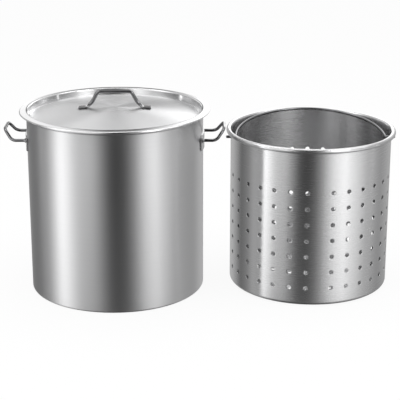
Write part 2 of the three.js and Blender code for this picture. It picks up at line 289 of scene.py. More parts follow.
def bent_path(corners, bends):
    """Straight runs between corners, and a quadratic bend at each inner corner.

    A bend starts and ends as far from its corner as a circle of the bend's radius would: the
    radius divided by the tangent of half the corner's angle.
    """
    corners = np.asarray(corners, float)
    runs = []
    start = corners[0]
    for before, corner, after, bend in zip(corners[:-2], corners[1:-1], corners[2:], bends):
        back, onward = unit(before - corner), unit(after - corner)
        setback = bend / math.tan(math.acos(np.clip(back @ onward, -1, 1)) / 2)
        entry, leave = corner + back * setback, corner + onward * setback
        runs += [straight(start, entry), quadratic(entry, corner, leave, ROD_BEND_POINTS)]
        start = leave
    path = np.concatenate(runs + [straight(start, corners[-1])])
    fresh = np.linalg.norm(np.diff(path, axis=0), axis=1) > SAME_PLACE
    return path[np.concatenate([[True], fresh])]


def end_rounding(path, depth):
    """From 0 at both ends of the path to 1 at a depth inside, along a quarter circle."""
    along = distance_along(path)
    inside = np.clip(np.minimum(along, along[-1] - along) / depth, 0, 1)
    return np.sqrt(1 - (1 - inside) ** 2)


def with_fine_ends(path, depth):
    """The path with points packed into its first and last stretch, for a rounded end.

    They stand at the depth times 1 - cos a, with a from 0 to a quarter turn.
    """
    t = (1 - np.cos(np.linspace(0, np.pi / 2, ROD_END_POINTS)))[:, None] * depth
    first, last = unit(path[1] - path[0]), unit(path[-2] - path[-1])
    far = np.linalg.norm(path - path[0], axis=1) > depth * END_MARGIN
    far &= np.linalg.norm(path - path[-1], axis=1) > depth * END_MARGIN
    return np.concatenate([path[0] + first * t, path[far], (path[-1] + last * t)[::-1]])


def smooth(value, low, high):
    """0 below low, 1 above high, and 3 t^2 - 2 t^3 between."""
    t = np.clip((value - low) / (high - low), 0, 1)
    return t * t * (3 - 2 * t)


def perforated(low, high, centre, radius, counts):
    """Cells of the basket's sheet, each a rectangle with a round hole in it.

    low, high and centre are arrays with one row per cell, in the sheet's two coordinates. Rings of
    points run from the cell's outline in to the hole's edge on the near face, down the hole and
    out again on the far face. A ring is a straight mix of the outline and the circle. The result
    is the flat coordinates of every point, its depth in the sheet, and the faces.
    """
    across, up = counts
    t_across, t_up = np.arange(across) / across, np.arange(up) / up
    outline = np.concatenate([
        np.column_stack([t_across, np.zeros(across)]),
        np.column_stack([np.ones(up), t_up]),
        np.column_stack([1 - t_across, np.ones(across)]),
        np.column_stack([np.zeros(up), 1 - t_up]),
        np.zeros((1, 2)),
    ])
    edge = low[:, None] + (high - low)[:, None] * outline
    turn = np.unwrap(np.arctan2(outline[:, 1] - 0.5, outline[:, 0] - 0.5))
    circle = np.column_stack([np.cos(turn), np.sin(turn)])
    rings = [(share, 0.0, 0.0) for share in CELL_SHARES]
    rings += [(0.0, swell, level) for swell, level in HOLE_RINGS]
    rings += [(share, 0.0, 1.0) for share in CELL_SHARES[::-1]]
    share, swell, level = np.array(rings).T[:, :, None, None]
    hole = centre[:, None, None] + (radius + HOLE_EDGE * swell) * circle
    flat = share * edge[:, None] + (1 - share) * hole
    depth = np.broadcast_to(BASKET_SHEET * level[..., 0], flat.shape[:-1])
    index = np.arange(depth.size).reshape(depth.shape)
    return flat.reshape(-1, 2), depth.ravel(), cell_faces(index)


def piece(name, surface, material, body, node, sharp=SHARP_ANGLE):
    """A mesh object from a surface: doubles merged, faces turned out, sharp only past an angle."""
    points, faces, brush = surface
    mesh = bpy.data.meshes.new(name)
    mesh.from_pydata(points.tolist(), [], faces.tolist())
    layer = mesh.uv_layers.new(name=UV_NAME)
    corner = np.empty(len(mesh.loops), dtype=np.int32)
    mesh.loops.foreach_get("vertex_index", corner)
    layer.data.foreach_set("uv", brush[corner].astype(np.float32).ravel())
    work = bmesh.new()
    work.from_mesh(mesh)
    bmesh.ops.remove_doubles(work, verts=work.verts, dist=MERGE_DISTANCE)
    bmesh.ops.dissolve_degenerate(work, edges=work.edges, dist=THIN_EDGE)
    bmesh.ops.recalc_face_normals(work, faces=work.faces)
    work.to_mesh(mesh)
    work.free()
    mesh.shade_smooth()
    mesh.set_sharp_from_angle(angle=math.radians(sharp))
    mesh.materials.append(material)
    thing = bpy.data.objects.new(name, mesh)
    bpy.context.scene.collection.objects.link(thing)
    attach(thing, body)
    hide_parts(node)


# Shader maths

class Value:
    """A shader socket in Python arithmetic: each operator adds one Math node."""

    def __init__(self, tree, socket=None):
        self.tree = tree
        self.socket = socket

    def node(self, kind, settings=None, sockets=None, output=0):
        """Any node: its settings are set first, then its sockets get values or links."""
        made = self.tree.nodes.new(kind)
        for key, setting in (settings or {}).items():
            if key == "stops":
                fill_ramp(made.color_ramp, setting)
            else:
                setattr(made, key, setting)
        for key, value in (sockets or {}).items():
            if isinstance(value, Value):
                self.tree.links.new(value.socket, made.inputs[key])
            else:
                made.inputs[key].default_value = value
        return Value(self.tree, made.outputs[output]) if made.outputs else None

    def maths(self, operation, first, second=0.0):
        return self.node("ShaderNodeMath", {"operation": operation}, {0: first, 1: second})

    def vector_maths(self, operation, sockets, output=0):
        return self.node("ShaderNodeVectorMath", {"operation": operation}, sockets, output)

    def between(self, low, high):
        """0 up to low, 1 from high on, and a smooth step between."""
        return self.node("ShaderNodeMapRange", {"interpolation_type": "SMOOTHSTEP"},
                         {"Value": self, "From Min": low, "From Max": high})

    def by_levels(self, levels):
        """The level at this value, on straight lines between pairs of a value and a level."""
        first, length = levels[0][0], levels[-1][0] - levels[0][0]
        highest = max(level for _, level in levels)
        stops = [((at - first) / length, level / highest) for at, level in levels]
        share = (self - first) * (1 / length)
        return self.node("ShaderNodeValToRGB", {"stops": stops}, {0: share}) * highest

    def __add__(self, other):
        return self.maths("ADD", self, other)

    def __radd__(self, other):
        return self.maths("ADD", other, self)

    def __sub__(self, other):
        return self.maths("SUBTRACT", self, other)

    def __rsub__(self, other):
        return self.maths("SUBTRACT", other, self)

    def __mul__(self, other):
        return self.maths("MULTIPLY", self, other)

    def __rmul__(self, other):
        return self.maths("MULTIPLY", other, self)


def fill_ramp(ramp, stops):
    """Stops as pairs of a position from 0 to 1 and a grey level."""
    while len(ramp.elements) < len(stops):
        ramp.elements.new(1.0)
    for element, (position, level) in zip(ramp.elements, stops):
        element.position = position
        element.color = (level, level, level, 1.0)


def mixed(first, second, share):
    """The first where the share is 0, the second where it is 1."""
    return first * (1 - share) + second * share


def fresh_nodes(owner):
    """The emptied node tree of a material or a world, as a value to start from."""
    owner.use_nodes = True
    owner.node_tree.nodes.clear()
    return Value(owner.node_tree)


# Brushed steel: the weights of its lines, bands and clouds in its tone, and how each one looks
LINE_TONE, BAND_TONE, CLOUD_TONE = 0.5, 0.3, 0.2
DARK_TONE, LIGHT_TONE = 0.93, 1.05
LINE_DETAIL, BAND_DETAIL, CLOUD_DETAIL = 3.0, 2.0, 3.0
BAND_STRETCH = 0.12
CLOUD_SCALE = 9.0
ROUGHNESS_SPREAD = 0.03
POLISH_SPREAD = 0.04
LID_POLISH_ROUGHNESS = 0.13
LINE_DEPTH = 0.0002
BRUSH_TURN = 0.25


def brushed_steel(name, colour, roughness, anisotropy, grain, grain_depth, polished=None):
    """Stainless steel with fine brush lines along the piece's own brush direction.

    Long thin noise gives the brush lines, a coarser copy gives bands between them, and soft
    clouds on the object give the faint uneven polish that handling leaves. Where polished gives
    two distances from the Z axis and a roughness, the steel past them is polished to it.
    """
    material = bpy.data.materials.new(name)
    start = fresh_nodes(material)
    brush = start.node("ShaderNodeUVMap", {"uv_map": UV_NAME})
    place = start.node("ShaderNodeTexCoord", output="Object")
    along, across = grain

    def noise(vector, scale, detail):
        sockets = {"Vector": vector, "Scale": scale, "Detail": detail}
        return start.node("ShaderNodeTexNoise", None, sockets)

    def lines(stretch, detail):
        scale = (along * stretch, across * stretch, 1.0)
        moved = start.node("ShaderNodeMapping", None, {"Vector": brush, "Scale": scale})
        return noise(moved, 1.0, detail)

    fine = lines(1.0, LINE_DETAIL)
    bands = lines(BAND_STRETCH, BAND_DETAIL)
    clouds = noise(place, CLOUD_SCALE, CLOUD_DETAIL)
    tone = LINE_TONE * fine + BAND_TONE * bands + CLOUD_TONE * clouds
    dark = (*(channel * DARK_TONE for channel in colour), 1.0)
    light = (*(channel * LIGHT_TONE for channel in colour), 1.0)
    shade = start.node("ShaderNodeMix", {"data_type": "RGBA"}, {0: tone, 6: dark, 7: light}, 2)
    rough = roughness - ROUGHNESS_SPREAD + ROUGHNESS_SPREAD * fine + ROUGHNESS_SPREAD * clouds
    if polished:
        inner, outer, polish = polished
        flat = start.vector_maths("MULTIPLY", {0: place, 1: (1.0, 1.0, 0.0)})
        from_axis = start.vector_maths("LENGTH", {0: flat}, output=1)
        rough = mixed(rough, polish + POLISH_SPREAD * clouds, from_axis.between(inner, outer))
    bump = start.node("ShaderNodeBump", None,
                      {"Strength": grain_depth, "Distance": LINE_DEPTH, "Height": fine})
    steel = start.node("ShaderNodeBsdfPrincipled", None, {
        "Base Color": shade, "Roughness": rough, "Metallic": 1.0, "Normal": bump,
        "Anisotropic": anisotropy, "Anisotropic Rotation": BRUSH_TURN,
    })
    start.node("ShaderNodeOutputMaterial", None, {"Surface": steel})
    return material


WALL_STEEL = brushed_steel(
    "wall_steel", colour=(0.6, 0.6, 0.605), roughness=0.33, anisotropy=0.92,
    grain=(9.0, 1500.0), grain_depth=0.03,
)
LID_STEEL = brushed_steel(
    "lid_steel", colour=(0.68, 0.68, 0.685), roughness=0.42, anisotropy=0.85,
    grain=(9.0, 1300.0), grain_depth=0.03,
    polished=(LID_POLISH_START, LID_POLISH_FULL, LID_POLISH_ROUGHNESS),
)
BASKET_STEEL = brushed_steel(
    "basket_steel", colour=(0.66, 0.66, 0.665), roughness=0.27, anisotropy=0.92,
    grain=(9.0, 1700.0), grain_depth=0.006,
)
# The handle rods, lid handle and bail get a far darker colour than the sheet's steel: painted
# shade, standing in for the dark studio that polished rods reflect
SHADED_ROD_STEEL = brushed_steel(
    "rod_steel", colour=(0.21, 0.21, 0.215), roughness=0.09, anisotropy=0.0,
    grain=(60.0, 900.0), grain_depth=0.01,
)
PLATE_STEEL = brushed_steel(
    "plate_steel", colour=(0.5, 0.5, 0.505), roughness=0.26, anisotropy=0.0,
    grain=(20.0, 1200.0), grain_depth=0.04,
)


# Camera and studio

CAMERA_PLACE = (0.1928, -2.855, 1.122)
CAMERA_DOWN = 17.9
CAMERA_LENS = 116.55
CAMERA_SENSOR = 36.0
CAMERA_REACH = 100.0

# Brightness of the studio, by degrees from the front towards +X, in three rings. Two broad soft
# boxes stand at the front corners with a dark gap between them. Above the horizon, panels stand
# behind with a narrow dark gap, and a strip light stands at each side. One more soft box hangs
# high at the front right.
LOW_STUDIO = [
    (-180, 0.1), (-165, 0.2), (-150, 0.45), (-133, 0.25), (-118, 0.22), (-104, 0.33), (-90, 0.75),
    (-80, 1.55), (-74, 2.4), (-68, 2.5), (-60, 1.85), (-50, 1.1), (-42, 0.88), (-34, 0.74),
    (-22, 0.35), (-12, 0.07), (-2, 0.03), (8, 0.1), (18, 0.38), (34, 1.18), (44, 1.55), (50, 1.78),
    (64, 1.34), (82, 0.74), (108, 0.4), (130, 0.5), (156, 0.5), (168, 0.3), (180, 0.1),
]
MIDDLE_STUDIO = [
    (-180, 0.8), (-173, 0.05), (-168, 0.05), (-158, 1.5), (-148, 0.5), (-120, 0.5), (-104, 0.3),
    (-90, 0.25), (-76, 0.2), (-55, 0.35), (-40, 0.75), (-30, 0.8), (-20, 0.3), (-10, 0.08),
    (0, 0.05), (12, 0.08), (22, 0.3), (34, 0.6), (46, 0.65), (58, 0.35), (72, 0.2), (88, 0.25),
    (105, 0.45), (150, 0.5), (163, 2.0), (174, 2.0), (180, 0.8),
]
UPPER_STUDIO = [
    (-180, 1.2), (-173, 0.12), (-167, 0.12), (-160, 1.25), (-150, 1.25), (-135, 0.65), (-95, 0.5),
    (-80, 1.2), (-68, 1.8), (-55, 1.5), (-42, 1.8), (-30, 2.2), (-18, 0.8), (-8, 0.12), (0, 0.05),
    (10, 0.15), (24, 0.9), (36, 1.3), (50, 1.3), (62, 1.0), (80, 0.7), (110, 0.6), (150, 1.1),
    (163, 2.6), (174, 2.7), (180, 1.2),
]
HIGH_BOX = [(-180, 0.0), (26, 0.0), (36, 5.0), (50, 5.0), (60, 0.0), (180, 0.0)]
STRIP_LIGHTS = [
    (-180, 0.0), (-103, 0.0), (-102.5, 2.6), (-98.5, 2.6), (-98, 0.0),
    (87.5, 0.0), (88, 2.6), (91, 2.6), (91.5, 0.0), (180, 0.0),
]
STUDIO_MIDDLE = (0.2, 0.0, 0.2)
STUDIO_RADIUS = 2.0
STUDIO_HEIGHT_POINTS = 33
STUDIO_TURN_POINTS = 65

# Where one part of the studio goes over into the next, by the sine of the angle above the horizon
LOW_TO_MIDDLE = (0.04, 0.1)
MIDDLE_TO_UPPER = (0.22, 0.3)
UPPER_TO_OVERHEAD = (0.5, 0.85)
HIGH_BOX_FOOT = (0.38, 0.46)
STRIP_FOOT, STRIP_TOP = (0.06, 0.1), (0.24, 0.18)
LOW_TO_FLOOR = (-0.16, -0.62)
FLOOR_TO_UNDERFOOT = (-0.6, -0.95)
# The overhead light starts over the front, and a strip runs across the zenith, by the direction's y
OVERHEAD_EDGE = (-0.1, 0.1)
ZENITH_FRONT, ZENITH_BACK = (-0.2, -0.1), (0.2, 0.1)

OVERHEAD = 0.9
ZENITH = 2.6
FLOOR_GLOW = 0.26
FLOOR_GLOW_SHARE = 0.75
UNDERFOOT = 0.07
AMBIENT = 0.85

# The reflector card between the pot and the basket, and the brightness of its two sides by y
CARD_X = 0.2515
CARD_FRONT, CARD_BACK = -0.15, 0.2
CARD_FADE = 0.025
CARD_FOOT, CARD_TOP = -0.15, 0.372
CARD_TO_POT = [
    (CARD_FRONT, 0.6), (-0.125, 0.58), (-0.086, 0.5), (-0.042, 0.47), (0.024, 0.62),
    (CARD_BACK, 0.6),
]
CARD_TO_BASKET = [
    (CARD_FRONT, 0.4), (-0.125, 0.45), (-0.095, 0.5), (-0.07, 0.3), (-0.04, 0.18), (-0.015, 0.4),
    (0.01, 0.55), (CARD_BACK, 0.6),
]

FLOOR_HALF = 14.0
FLOOR_DROP = 0.0003
FLOOR_PAINT = 0.88
FLOOR_WHITE = 0.9

LAMP_PLACE = (0.2, -0.2, 2.6)
LAMP_SIZE = 2.4
LAMP_ENERGY = 30.0

WHITE = (1.0, 1.0, 1.0, 1.0)
NOT_IN_REFLECTIONS = ("visible_glossy",)
ONLY_IN_REFLECTIONS = ("visible_camera", "visible_diffuse", "visible_shadow")


def make_camera():
    """A camera in front of the pot, turned down from level."""
    data = bpy.data.cameras.new("camera")
    data.lens = CAMERA_LENS
    data.sensor_width = CAMERA_SENSOR
    data.clip_end = CAMERA_REACH
    camera = bpy.data.objects.new("camera", data)
    camera.location = CAMERA_PLACE
    camera.rotation_euler = (math.radians(90 - CAMERA_DOWN), 0, 0)
    bpy.context.scene.collection.objects.link(camera)
    bpy.context.scene.camera = camera


def make_world():
    """White to the camera, and even light to everything that isn't polished."""
    world = bpy.data.worlds.new("studio")
    bpy.context.scene.world = world
    start = fresh_nodes(world)
    seen = start.node("ShaderNodeLightPath", output="Is Camera Ray")
    background = start.node("ShaderNodeBackground", None,
                            {"Color": WHITE, "Strength": mixed(AMBIENT, 1.0, seen)})
    start.node("ShaderNodeOutputWorld", None, {"Surface": background})


def stage_object(name, points, faces, material, hidden):
    """A mesh of the studio and not of the part, hidden from some kinds of ray."""
    mesh = bpy.data.meshes.new(name)
    mesh.from_pydata(points, [], faces)
    mesh.materials.append(material)
    thing = bpy.data.objects.new(name, mesh)
    for kind in hidden:
        setattr(thing, kind, False)
    bpy.context.scene.collection.objects.link(thing)


def studio_glow():
    """The soft boxes: brightness by the direction from the studio's middle."""
    material = bpy.data.materials.new("studio_glow")
    start = fresh_nodes(material)
    place = start.node("ShaderNodeTexCoord", output="Object")
    way = start.vector_maths("SUBTRACT", {0: place, 1: STUDIO_MIDDLE})
    way = start.vector_maths("NORMALIZE", {0: way})
    x, y, z = (start.node("ShaderNodeSeparateXYZ", None, {0: way}, axis) for axis in range(3))
    turn = start.maths("ARCTAN2", x, 0.0 - y) * (180 / math.pi)
    low, middle, upper, box, strips = (
        turn.by_levels(levels)
        for levels in (LOW_STUDIO, MIDDLE_STUDIO, UPPER_STUDIO, HIGH_BOX, STRIP_LIGHTS)
    )
    level = mixed(low, middle, z.between(*LOW_TO_MIDDLE))
    level = mixed(level, upper, z.between(*MIDDLE_TO_UPPER))
    level = level + box * z.between(*HIGH_BOX_FOOT)
    zenith = ZENITH * y.between(*ZENITH_FRONT) * y.between(*ZENITH_BACK)
    overhead = OVERHEAD * y.between(*OVERHEAD_EDGE) + zenith
    level = mixed(level, overhead, z.between(*UPPER_TO_OVERHEAD))
    level = mixed(level, FLOOR_GLOW, FLOOR_GLOW_SHARE * z.between(*LOW_TO_FLOOR))
    level = mixed(level, UNDERFOOT, z.between(*FLOOR_TO_UNDERFOOT))
    level = level + strips * z.between(*STRIP_FOOT) * z.between(*STRIP_TOP)
    glow = start.node("ShaderNodeEmission", None, {"Color": level, "Strength": 1.0})
    start.node("ShaderNodeOutputMaterial", None, {"Surface": glow})
    return material


def make_studio():
    """A round shell about the object, which only reflections see.

    A point at the height angle h and the turn a stands at the middle plus the radius times
    (cos h sin a, -cos h cos a, sin h).
    """
    heights = np.radians(np.linspace(-90, 90, STUDIO_HEIGHT_POINTS))
    turns = np.radians(np.linspace(-180, 180, STUDIO_TURN_POINTS))
    height, turn = np.meshgrid(heights, turns)
    way = around(np.cos(height), turn, np.sin(height))
    points, faces, _ = grid(STUDIO_RADIUS * way + STUDIO_MIDDLE, way[..., :2])
    stage_object("studio_shell", points.tolist(), faces.tolist(), studio_glow(),
                 ONLY_IN_REFLECTIONS)


def card_glow():
    """The brightness of each side by y, fading out towards the card's front and back edges."""
    material = bpy.data.materials.new("card_glow")
    start = fresh_nodes(material)
    place = start.node("ShaderNodeTexCoord", output="Object")
    y = start.node("ShaderNodeSeparateXYZ", None, {0: place}, output=1)
    from_pot = start.node("ShaderNodeNewGeometry", output="Backfacing")
    level = mixed(y.by_levels(CARD_TO_BASKET), y.by_levels(CARD_TO_POT), from_pot)
    shown = y.between(CARD_FRONT, CARD_FRONT + CARD_FADE)
    shown = shown * y.between(CARD_BACK, CARD_BACK - CARD_FADE)
    clear = start.node("ShaderNodeBsdfTransparent")
    glow = start.node("ShaderNodeEmission", None, {"Color": level, "Strength": 1.0})
    mix = start.node("ShaderNodeMixShader", None, {0: shown, 1: clear, 2: glow})
    start.node("ShaderNodeOutputMaterial", None, {"Surface": mix})
    return material


def make_card():
    """An upright card between the pot and the basket, which only reflections see."""
    corners = [
        (CARD_X, CARD_FRONT, CARD_FOOT), (CARD_X, CARD_BACK, CARD_FOOT),
        (CARD_X, CARD_BACK, CARD_TOP), (CARD_X, CARD_FRONT, CARD_TOP),
    ]
    stage_object("reflector_card", corners, [(0, 1, 2, 3)], card_glow(), ONLY_IN_REFLECTIONS)


def make_floor():
    """A plain pale floor, shown white where no shadow falls on it."""
    material = bpy.data.materials.new("floor_white")
    start = fresh_nodes(material)
    paint = start.node("ShaderNodeBsdfDiffuse", None, {"Color": (*[FLOOR_PAINT] * 3, 1.0)})
    glow = start.node("ShaderNodeEmission", None, {"Color": WHITE, "Strength": 1.0})
    seen = start.node("ShaderNodeLightPath", output="Is Camera Ray")
    mix = start.node("ShaderNodeMixShader", None, {0: seen * FLOOR_WHITE, 1: paint, 2: glow})
    start.node("ShaderNodeOutputMaterial", None, {"Surface": mix})
    sides = [(-1, -1), (1, -1), (1, 1), (-1, 1)]
    corners = [(FLOOR_HALF * x, FLOOR_HALF * y, -FLOOR_DROP) for x, y in sides]
    stage_object("floor", corners, [(0, 1, 2, 3)], material, NOT_IN_REFLECTIONS)


def make_lamp():
    """One wide overhead lamp, for the soft shadow under the object."""
    data = bpy.data.lights.new("overhead", "AREA")
    data.shape = "DISK"
    data.size = LAMP_SIZE
    data.energy = LAMP_ENERGY
    lamp = bpy.data.objects.new("overhead", data)
    lamp.location = LAMP_PLACE
    lamp.visible_glossy = False
    bpy.context.scene.collection.objects.link(lamp)


# Pot

BACK_TO_BACK = np.linspace(-np.pi, np.pi, ROUND_STEPS + 1)


def dish_line(radius, corner, weld, sheet):
    """The inner face of a drawn dish, from its axis out, round the corner and up to the weld."""
    centre = radius - corner
    flat = np.column_stack([np.linspace(0, centre, DISH_POINTS), np.full(DISH_POINTS, sheet)])
    bend = arc(centre, corner, corner - sheet, -90, 0, CORNER_STEPS)
    return np.vstack([flat, bend[1:], [[radius - sheet, weld]]])


def curl_line(inner, height, bead):
    """The inner face of a rim that curls outwards, from the wall's inner radius over the top."""
    radius = bead / 2
    return arc(inner + radius, height - radius, radius, 180, 180 - CURL_TURN, CURL_STEPS)


def make_pot():
    """A drawn base, and a straight wall from the weld up and over the curled rim."""
    inner = POT_RADIUS - POT_SHEET
    rise = np.linspace(POT_WELD, POT_HEIGHT - POT_BEAD / 2, WALL_POINTS)
    upright = np.column_stack([np.full(WALL_POINTS, inner), rise])
    wall = np.vstack([upright, curl_line(inner, POT_HEIGHT, POT_BEAD)[1:]])
    base = dish_line(POT_RADIUS, POT_CORNER, POT_WELD, POT_SHEET)
    for node, line in (("pot_wall", wall), ("pot_base", base)):
        surface = revolved(sheet_section(line, POT_SHEET), BACK_TO_BACK)
        piece(f"{node}_skin", surface, WALL_STEEL, "pot", node)


# Side handles

def handle_path(side):
    """The middle of a side handle: level legs, a rise outwards and inwards, and the grip."""
    leg_y, grip_y = HANDLE_SPREAD / 2, HANDLE_GRIP / 2
    root = math.sqrt((POT_RADIUS + PLATE_THICKNESS) ** 2 - leg_y ** 2)
    half = [
        (root, -leg_y, HANDLE_HEIGHT),
        (POT_RADIUS + HANDLE_LEG, -leg_y, HANDLE_HEIGHT),
        (POT_RADIUS + HANDLE_REACH, -grip_y, HANDLE_HEIGHT + HANDLE_RISE),
    ]
    corners = half + [(x, -y, z) for x, y, z in half[::-1]]
    return bent_path(np.array(corners) * [side, 1, 1], [HANDLE_BEND] * 4)


def handle_rod(side):
    """A round rod, swollen at each root by a weld: exp(-(distance / length)^2) times the swell.

    A point of no radius just behind each root closes the rod's end.
    """
    path = handle_path(side)
    along = distance_along(path)
    from_root = np.minimum(along, along[-1] - along)
    radius = HANDLE_ROD / 2 + WELD_SWELL * np.exp(-(from_root / WELD_LENGTH) ** 2)
    radius = np.concatenate([[0], radius, [0]])
    path = np.vstack([path[:1], path, path[-1:]])
    path[[0, -1], 0] -= side * CAP_STEP
    return round_rod(path, radius, np.array([-side, 0.0, 1.0]))


def plate_surface(side):
    """A rounded rectangle wrapped on the wall: rings from its middle to its rounded edge and back.

    A point at height h over the wall and at an arc length s from the middle stands at the angle
    s / radius, at the wall's radius plus h.
    """
    low, high = HANDLE_HEIGHT - PLATE_BELOW, HANDLE_HEIGHT + PLATE_ABOVE
    middle = (low + high) / 2
    half_w, half_h, corner = PLATE_WIDTH / 2, (high - low) / 2, PLATE_CORNER
    quarter = arc(half_w - corner, half_h - corner, corner, 0, 90, PLATE_CORNER_STEPS)
    run = np.linspace(1, -1, PLATE_TOP_POINTS)[1:-1] * (half_w - corner)
    top = np.column_stack([run, np.full(len(run), half_h)])
    upper = np.vstack([quarter, top, (quarter * [-1, 1])[::-1]])
    outline = np.vstack([upper, -upper, upper[:1]])
    bend = np.radians(np.linspace(0, 90, PLATE_EDGE_POINTS))
    inset, drop = PLATE_EDGE * (1 - np.sin(bend)), PLATE_EDGE * (1 - np.cos(bend))
    back = np.linspace(1, 0, PLATE_BACK_POINTS)
    shares = np.vstack([
        PLATE_FACE_SHARES[:, None] * [1, 1],
        1 - inset[:, None] / [half_w, half_h],
        back[:, None] * [1, 1],
    ])
    lift = np.concatenate([
        np.full(len(PLATE_FACE_SHARES), PLATE_THICKNESS),
        PLATE_THICKNESS - drop,
        np.full(len(back), -POT_SHEET / 2),
    ])[:, None]
    flat = outline * shares[:, None]
    angle = flat[..., 0] / POT_RADIUS
    points = np.stack([
        side * (POT_RADIUS + lift) * np.cos(angle),
        (POT_RADIUS + lift) * np.sin(angle),
        middle + flat[..., 1],
    ], axis=-1)
    return grid(points, flat)


def make_handles():
    """A rod and its plate on each side of the pot."""
    for name, side in (("left", -1), ("right", 1)):
        piece(f"handle_{name}_rod", handle_rod(side), SHADED_ROD_STEEL, "pot",
              f"handle_{name}")
        piece(f"handle_{name}_plate", plate_surface(side), PLATE_STEEL, "pot",
              f"handle_plate_{name}")


# Lid

LID_TOP = POT_HEIGHT + SEAT_GAP + LID_SHEET
LID_WALL = POT_RADIUS - POT_SHEET - LID_CLEARANCE - LID_SHEET
DRAFT = math.radians(LID_DRAFT)
LID_WALL_TOP = LID_TOP - LID_SHOULDER_BEND * (1 - math.sin(DRAFT))
FOOT_BEND_HEIGHT = LID_TOP - LID_RECESS + LID_FOOT_BEND
LID_WALL_DROP = LID_WALL_TOP - FOOT_BEND_HEIGHT + LID_FOOT_BEND * math.sin(DRAFT)
FOOT_BEND_RADIUS = LID_WALL - LID_WALL_DROP * math.tan(DRAFT) - LID_FOOT_BEND * math.cos(DRAFT)
DOME_SLOPE = math.radians(LID_DOME_ANGLE)
DOME_RADIUS = FOOT_BEND_RADIUS / math.sin(DOME_SLOPE) - LID_FOOT_BEND
DOME_CENTRE = FOOT_BEND_HEIGHT - (LID_FOOT_BEND + DOME_RADIUS) * math.cos(DOME_SLOPE)


def dome_height(radius):
    """The top of the dome at a distance r from the axis: its centre plus sqrt(R^2 - r^2)."""
    return DOME_CENTRE + np.sqrt(DOME_RADIUS ** 2 - np.square(radius))


def make_lid():
    """The lid's top line turned round the axis.

    It runs down the dome, round the tight foot bend, up the drafted wall, over the shoulder, out
    along the flange, which falls past the pot's rim, and round the turned-down edge.
    """
    dome = arc(0, DOME_CENTRE, DOME_RADIUS, 90, 90 - LID_DOME_ANGLE, DOME_STEPS)
    dome[0, 0] = 0
    foot = arc(FOOT_BEND_RADIUS, FOOT_BEND_HEIGHT, LID_FOOT_BEND, -90 - LID_DOME_ANGLE, -LID_DRAFT,
               LID_BEND_STEPS)
    bend = LID_SHOULDER_BEND
    shoulder = arc(LID_WALL + bend * math.cos(DRAFT), LID_TOP - bend, bend, 180 - LID_DRAFT, 90,
                   LID_BEND_STEPS)
    flange = POT_RADIUS + LID_FLANGE_LEVEL
    turn = 90 - LID_FLANGE_SLOPE
    end = turn - LID_EDGE_TURN
    edge_centre = LID_RADIUS - LID_EDGE_BEND * math.cos(math.radians(end))
    edge = arc(edge_centre, LID_TOP, LID_EDGE_BEND, turn, end, LID_EDGE_STEPS)
    fall = (edge[0, 0] - flange) * math.tan(math.radians(LID_FLANGE_SLOPE))
    edge[:, 1] += LID_TOP - fall - edge[0, 1]
    line = np.vstack([dome, foot[1:], shoulder, [[flange, LID_TOP]], edge])
    surface = revolved(sheet_section(line, LID_SHEET), BACK_TO_BACK)
    piece("lid_pan_skin", surface, LID_STEEL, "lid", "lid_pan")


def make_lid_handle():
    """A bent rod whose ends go from round to flat: thinner, wider and squarer towards the feet.

    Over the taper each size is mixed by a smooth step, and the path sinks with the thickness, so
    that the feet stay on the dome.
    """
    bar = float(dome_height(0)) + LID_HANDLE_RISE
    inner = LID_HANDLE_FEET / 2
    outer = inner + LID_FOOT_LENGTH
    radius = LID_ROD / 2
    inner_seat, outer_seat = dome_height(np.array([inner, outer])) + SEAT_GAP
    half = [
        (-outer, 0, outer_seat + radius),
        (-inner, 0, inner_seat + radius),
        (-LID_HANDLE_BAR / 2, 0, bar),
    ]
    corners = half + [(-x, y, z) for x, y, z in half[::-1]]
    bends = [LID_FOOT_SWEEP, LID_HANDLE_BEND, LID_HANDLE_BEND, LID_FOOT_SWEEP]
    path = with_fine_ends(bent_path(corners, bends), LID_FOOT_ROUNDING)
    out = np.abs(path[:, 0])
    flat = smooth(out, inner, inner + LID_FOOT_TAPER)
    rounding = end_rounding(path, LID_FOOT_ROUNDING)
    squeeze = 1 + (LID_FOOT_THICKNESS / LID_ROD - 1) * flat
    wide = radius + (LID_FOOT_WIDTH / 2 - radius) * flat
    wide *= FOOT_END_WIDTH + (1 - FOOT_END_WIDTH) * rounding
    thick = radius * squeeze * (FOOT_END_THICKNESS + (1 - FOOT_END_THICKNESS) * rounding)
    closed = rounding == 0
    wide[closed] = thick[closed] = 0
    seat = inner_seat + (outer_seat - inner_seat) * (out - inner) / LID_FOOT_LENGTH
    path[:, 2] = seat + (path[:, 2] - seat) * squeeze
    squareness = ROUND_SECTION + (FOOT_SECTION - ROUND_SECTION) * flat
    surface = swept(path, wide, thick, squareness, np.array([0.0, 0.0, 1.0]))
    piece("lid_handle_rod", surface, SHADED_ROD_STEEL, "lid", "lid_handle")


# Basket: its wall is cells of two facets, with a hole in each, and one facet as the seam strip

FACET = 2 * math.pi / (2 * HOLE_COLUMNS + 1)
SEAM = math.radians(SEAM_AZIMUTH)
CELL_LEFTS = SEAM + FACET * (0.5 + 2 * np.arange(HOLE_COLUMNS))
STRIP_STEPS = CELL_STEPS // 2


def basket_azimuths():
    """Every azimuth of the basket's mesh lines: the cells, then the plain seam strip."""
    steps = np.arange(CELL_STEPS) * 2 * FACET / CELL_STEPS
    strip = SEAM - FACET / 2 + FACET * np.arange(STRIP_STEPS) / STRIP_STEPS
    azimuths = np.concatenate([(CELL_LEFTS[:, None] + steps).ravel(), 2 * np.pi + strip])
    return np.append(azimuths, azimuths[0] + 2 * np.pi)


def on_wall(azimuth, height, depth):
    """Points of the basket's wall, a depth inside its outer face, and their brush coordinates."""
    points = around(BASKET_RADIUS - depth, azimuth, height) + BASKET_PLACE
    return points, np.stack([azimuth * BASKET_RADIUS, height], axis=-1)


